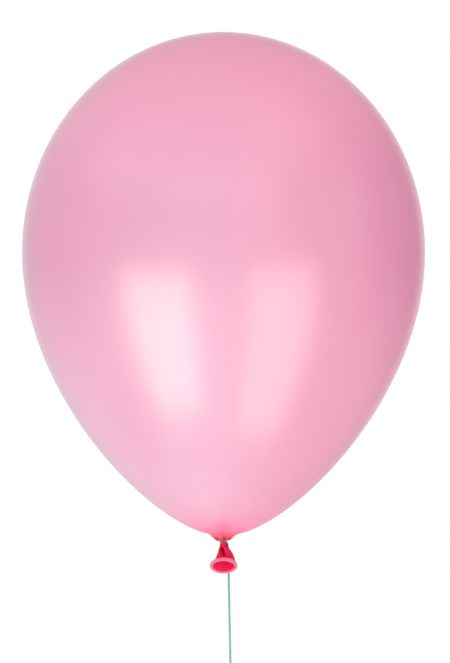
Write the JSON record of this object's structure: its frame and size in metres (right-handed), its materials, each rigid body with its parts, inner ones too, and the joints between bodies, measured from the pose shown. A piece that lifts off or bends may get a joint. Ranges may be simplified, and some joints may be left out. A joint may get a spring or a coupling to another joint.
{
  "type": "latex balloon",
  "caption": "Inflated round latex balloon with a gathered neck, a tail with a rolled lip, and a string tied round the neck that ends in a finger loop.",
  "frame": {"origin": "on the bulb's axis at the tie, where the string pinches the neck", "axes": "+Z from the tie up to the crown, -Y the way the tail and its mouth lean, +X to the side on which the string leaves the neck"},
  "size_m": [0.2799, 0.28, 0.5043],
  "materials": {
    "latex_film": "pearl pink latex stretched thin, satin gloss, slightly translucent",
    "latex_thick": "unstretched latex in deep crimson, satin, with soft folds",
    "latex_lip": "rolled latex bead in lighter pink, satin gloss",
    "string": "twisted mint green thread, matt"
  },
  "bodies": {
    "balloon": {"bulb": "latex_film", "gathered_neck": "latex_thick", "string_wraps": "string"},
    "tail": {"tail_skirt": "latex_thick", "rolled_lip": "latex_lip"},
    "tie_knot": {"string_knot": "string", "string_cut_end": "string"},
    "string": {"string": "string", "loop_knot": "string"},
    "loop": {"hand_loop": "string"}
  },
  "joints": [
    {"name": "tail_flex", "type": "hinge", "parent": "balloon", "child": "tail", "pos_m": [0, 0, -0.0042], "axis": [1, 0, 0], "range_deg": [-32, 6], "stiffness_Nm_per_rad": 0.00005},
    {"name": "string_swing_side", "type": "hinge", "parent": "balloon", "child": "tie_knot", "pos_m": [0.0026, 0.0024, -0.005], "axis": [0, 1, 0], "range_deg": [-80, 50]},
    {"name": "string_swing_fore", "type": "hinge", "parent": "tie_knot", "child": "string", "pos_m": [0.0026, 0.0024, -0.005], "axis": [1, 0, 0], "range_deg": [-5, 70]},
    {"name": "loop_fold", "type": "hinge", "parent": "string", "child": "loop", "pos_m": [0.005, 0.0032, -0.098], "axis": [1, 0, 0], "range_deg": [-90, 90]}
  ]
}
